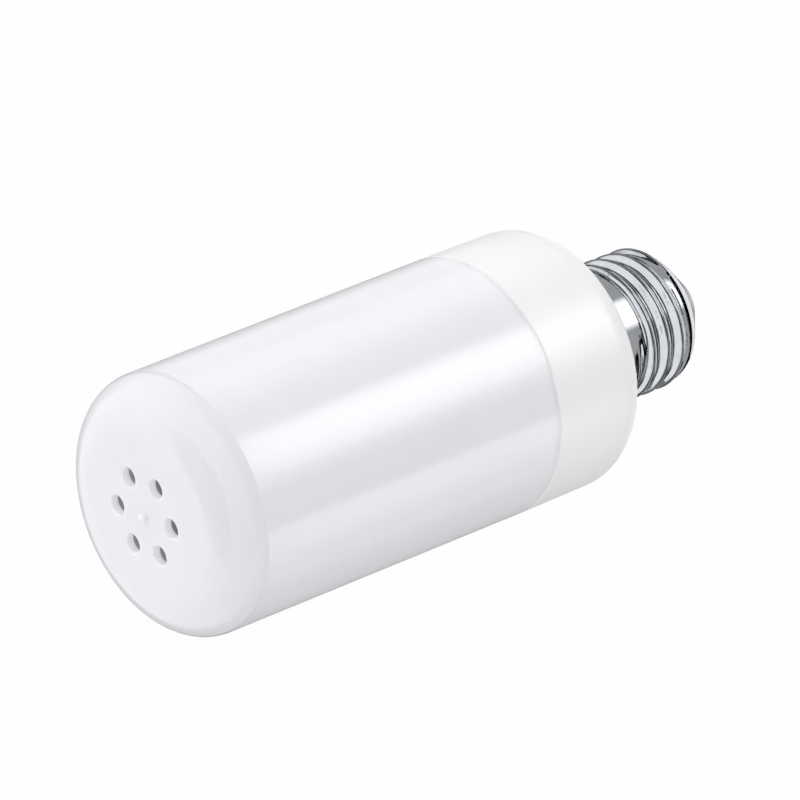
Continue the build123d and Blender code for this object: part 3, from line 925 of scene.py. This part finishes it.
@dataclass(frozen=True)
class Softbox:
    """Flat light for matt surfaces, hung beside the object and turned to its middle.

    bearing is in degrees, and height and distance count from that middle.
    """

    name: str
    bearing: float
    height: float
    distance: float
    width: float
    length: float
    glow: float

    def hang(self, middle: Vector) -> None:
        """Makes the light.

        Args:
            middle: The point that it faces.
        """
        data = bpy.data.lights.new(self.name, "AREA")
        data.shape = "RECTANGLE"
        data.size, data.size_y = self.width, self.length
        data.energy = self.glow * math.pi * self.width * self.length
        made = bpy.data.objects.new(self.name, data)
        turn = math.radians(self.bearing)
        out = Vector((math.cos(turn) * self.distance, math.sin(turn) * self.distance, self.height))
        made.location = middle + out
        made.rotation_euler = (-out).to_track_quat("-Z", "Y").to_euler()
        made.visible_camera = False
        made.visible_glossy = False
        made.visible_transmission = False
        bpy.context.scene.collection.objects.link(made)
        log.info("softbox %s hung", self.name)


@dataclass(frozen=True)
class Streak:
    """Stretch of a card that glows more, with soft ends, in degrees from the card's front."""

    start: float
    end: float
    soft_start: float
    soft_end: float
    glow: float


@dataclass(frozen=True)
class Card:
    """Ring of card round the lamp that only its glossy surfaces mirror.

    low and high are the radius and the height of its edges, and front is a bearing in degrees.
    Where it names receivers, only those pieces mirror its glow and the others find it black.
    """

    name: str
    low: Span
    high: Span
    shade: float
    streaks: tuple[Streak, ...] = ()
    receivers: tuple[str, ...] = ()
    front: float = -80.0
    steps: int = 96

    def stand(self, nodes: dict[str, bpy.types.Object]) -> None:
        """Makes the ring.

        Args:
            nodes: Node name to object, for the receivers.
        """
        ring = []
        for radius, z in (self.low, self.high):
            for step in range(self.steps):
                turn = math.tau * step / self.steps
                ring.append((radius * math.cos(turn), radius * math.sin(turn), z))
        faces = []
        for step in range(self.steps):
            after = (step + 1) % self.steps
            faces.append((step, after, after + self.steps, step + self.steps))
        mesh = bpy.data.meshes.new(self.name)
        mesh.from_pydata(ring, [], faces)
        mesh.materials.append(self._face())
        made = bpy.data.objects.new(self.name, mesh)
        bpy.context.scene.collection.objects.link(made)
        made.rotation_euler.z = math.radians(self.front)
        made.visible_camera = False
        made.visible_diffuse = False
        made.visible_transmission = False
        made.visible_shadow = False
        if self.receivers:
            chosen = bpy.data.collections.new(self.name + "_receivers")
            for name in self.receivers:
                chosen.objects.link(nodes[name])
            made.light_linking.receiver_collection = chosen
        log.info("card %s stands", self.name)

    def _face(self) -> bpy.types.Material:
        """Makes the card's face: an even shade with the streaks added by bearing.

        Returns:
            The material.
        """
        recipe = Recipe(self.name)
        glow: Value = self.shade
        if self.streaks:
            parts = recipe.parts()
            turn = recipe.maths("ARCTAN2", parts["Y"], parts["X"])
            for streak in self.streaks:
                rise = self._edge(recipe, turn, streak.start, streak.soft_start, streak.glow)
                fall = self._edge(recipe, turn, streak.end, streak.soft_end, streak.glow)
                glow = recipe.maths("SUBTRACT", recipe.maths("ADD", glow, rise), fall)
        return recipe.close(recipe.node("Emission", {"Color": WHITE, "Strength": glow}))

    def _edge(self, recipe: Recipe, turn: Socket, at: float, soft: float, glow: float) -> Socket:
        """Adds a soft step from 0 to a glow.

        Args:
            recipe: The card's material.
            turn: Bearing in radians.
            at: Bearing of the step's middle in degrees.
            soft: Half of its width in degrees.
            glow: Height of the step.

        Returns:
            The socket with the step.
        """
        ends = {"From Min": math.radians(at - soft), "From Max": math.radians(at + soft), "To Max": glow}
        made = recipe.node("MapRange", {"Value": turn, **ends}, interpolation_type="SMOOTHSTEP")
        return made.outputs["Result"]


@dataclass(frozen=True)
class Viewpoint:
    """The photograph's camera, as the lamp's attitude in it.

    tilt is the angle in degrees between the lamp's axis and the view, and slope the axis's fall
    across the picture. The end's three values are where the vented end lies in the camera's frame.
    """

    name: str = "photo_camera"
    tilt: float = 52.876
    slope: float = -21.671
    end_across: float = -42.667 * MM
    end_down: float = 19.453 * MM
    end_away: float = 782.66 * MM
    focal_px: float = 4702.6
    sensor: float = 36.0
    clip: Span = (0.01, 100.0)

    def place(self, end_z: float) -> None:
        """Makes the camera.

        Args:
            end_z: Height of the vented end in the lamp's frame.
        """
        tilt, slope = math.radians(self.tilt), math.radians(self.slope)
        axis = Vector((math.sin(tilt) * math.cos(slope), math.sin(tilt) * math.sin(slope), math.cos(tilt)))
        across = axis.cross(Vector((0.0, 0.0, 1.0))).normalized()
        over = axis.cross(across)
        turned = Matrix((across, -over, -axis))
        flip = Matrix.Diagonal((1.0, -1.0, -1.0))
        end = Vector((self.end_across, self.end_down, self.end_away))
        spot = Vector((0.0, 0.0, end_z)) - turned @ end
        data = bpy.data.cameras.new(self.name)
        data.sensor_width = self.sensor
        data.lens = self.focal_px * self.sensor / PICTURE_SIDE
        data.clip_start, data.clip_end = self.clip
        made = bpy.data.objects.new(self.name, data)
        made.matrix_world = Matrix.Translation(spot) @ (turned @ flip).to_4x4()
        bpy.context.scene.collection.objects.link(made)
        bpy.context.scene.camera = made
        log.info("camera placed")


@dataclass
class Studio:
    """White floor, even room light, soft lights and the cards that the glossy surfaces mirror."""

    floor_drop: float = 0.26
    floor_half: float = 6.0
    floor_white: float = 0.88
    floor_glow: float = 0.93
    room: float = 0.88
    boxes: tuple[Softbox, ...] = (
        Softbox("top_fill", bearing=60.0, height=0.5, distance=0.5, width=0.5, length=0.5, glow=0.95),
        Softbox("side_fill", bearing=-20.0, height=0.1, distance=0.6, width=0.4, length=0.6, glow=1.0),
    )
    mouldings: tuple[str, ...] = ("diffuser_cover", "base_housing")
    streaks: tuple[Streak, ...] = (
        Streak(start=-112.0, end=130.0, soft_start=8.0, soft_end=12.0, glow=0.65),
        Streak(start=-83.0, end=-59.0, soft_start=17.0, soft_end=3.0, glow=1.9),
        Streak(start=-17.0, end=18.0, soft_start=16.0, soft_end=9.0, glow=5.2),
        Streak(start=50.0, end=90.0, soft_start=16.0, soft_end=14.0, glow=1.0),
    )
    shine: tuple[Streak, ...] = (Streak(start=-17.0, end=28.0, soft_start=6.0, soft_end=6.0, glow=1.1),)
    edges: tuple[Streak, ...] = (
        Streak(start=70.0, end=120.0, soft_start=15.0, soft_end=15.0, glow=0.6),
        Streak(start=-105.0, end=-55.0, soft_start=12.0, soft_end=12.0, glow=0.4),
    )
    cards: tuple[Card, ...] = (
        Card("white_wall", (0.35, -0.255), (0.35, -0.095), shade=0.35, streaks=streaks, receivers=mouldings),
        Card("black_wall", (0.35, -0.095), (0.35, -0.02), shade=0.05),
        Card("white_ring", (0.2, -0.255), (0.35, -0.255), shade=1.0, receivers=mouldings),
        Card("skirt_band", (0.1, -0.066), (0.1, -0.028), shade=0.42, streaks=shine),
        Card("grey_band", (0.6, 0.15), (0.6, -0.1), shade=0.22, streaks=edges),
        Card("black_lid", (0.01, 0.9), (0.45, 0.9), shade=0.0),
    )

    def build(self, middle: Vector, nodes: dict[str, bpy.types.Object]) -> None:
        """Makes floor, room light, soft lights and cards.

        Args:
            middle: Middle of the lamp.
            nodes: Node name to object, as the frame gives them.
        """
        self._floor()
        self._room()
        for box in self.boxes:
            box.hang(middle)
        for card in self.cards:
            card.stand(nodes)
        bpy.context.scene.view_settings.view_transform = "Standard"

    def _room(self) -> None:
        """Makes the room's even light, white where it is seen."""
        world = bpy.data.worlds.new("room")
        bpy.context.scene.world = world
        world.use_nodes = True
        wiring = Wiring(world.node_tree)
        lit = wiring.node("Background", {"Color": WHITE, "Strength": self.room})
        white = wiring.node("Background", {"Color": WHITE, "Strength": 1.0})
        mix = wiring.node("MixShader", {"Fac": wiring.seen(), 1: lit.outputs[0], 2: white.outputs[0]})
        wiring.node("OutputWorld", {"Surface": mix.outputs[0]})
        log.info("room lit")

    def _floor(self) -> None:
        """Makes the floor: white where it is seen, with part of the lamp's shadow left."""
        half = self.floor_half
        mesh = bpy.data.meshes.new("floor")
        corners = [(x * half, y * half, -self.floor_drop) for x, y in ((-1, -1), (1, -1), (1, 1), (-1, 1))]
        mesh.from_pydata(corners, [], [(0, 1, 2, 3)])
        floor = bpy.data.objects.new("floor", mesh)
        bpy.context.scene.collection.objects.link(floor)
        recipe = Recipe("floor_white")
        matt = recipe.node("BsdfDiffuse", {"Color": dimmed(WHITE[:3], self.floor_white) + (1.0,)})
        white = recipe.node("Emission", {"Color": WHITE})
        share = recipe.maths("MULTIPLY", recipe.seen(), self.floor_glow)
        mix = recipe.node("MixShader", {"Fac": share, 1: matt.outputs[0], 2: white.outputs[0]})
        mesh.materials.append(recipe.close(mix))
        log.info("floor laid")


def main() -> None:
    """Dresses the lamp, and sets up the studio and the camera."""
    logging.basicConfig(level=logging.INFO, format="%(message)s")
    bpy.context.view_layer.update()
    dresser = Dresser(frame["nodes"])
    for part in (Shade(), ScrewCap(), Driver(), Flame()):
        part.build(dresser)
    contact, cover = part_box("centre_contact"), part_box("diffuser_cover")
    middle = Vector((0.0, 0.0, (contact[0].z + cover[1].z) / 2))
    Studio().build(middle, dresser.nodes)
    Viewpoint().place(cover[1].z - Shade.gate)


if __name__ == "__main__":
    main()
